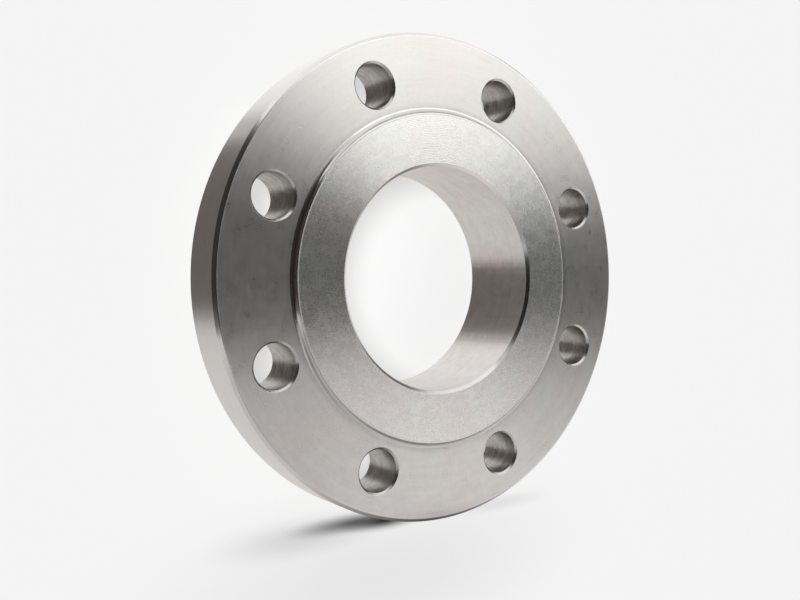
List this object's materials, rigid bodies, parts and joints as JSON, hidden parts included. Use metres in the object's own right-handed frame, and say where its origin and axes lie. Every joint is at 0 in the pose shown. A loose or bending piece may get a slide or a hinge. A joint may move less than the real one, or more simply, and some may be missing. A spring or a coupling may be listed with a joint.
{
  "type": "pipe flange",
  "caption": "Thick round steel pipe flange with a wide bore, a low raised sealing face, a ring of bolt holes and a short hub behind the plate.",
  "frame": {"origin": "middle of the hub's end, on the bore's axis, where the flange lies on a surface", "axes": "+Z along the bore's axis, out of the raised face; +Y is the picture's up and runs midway between two bolt holes; +X completes the frame and also runs midway between two bolt holes"},
  "size_m": [0.195, 0.195, 0.039],
  "materials": {
    "turned_steel": "bright turned steel with fine concentric tool marks"
  },
  "bodies": {
    "root": {"flange": "turned_steel"}
  },
  "joints": []
}
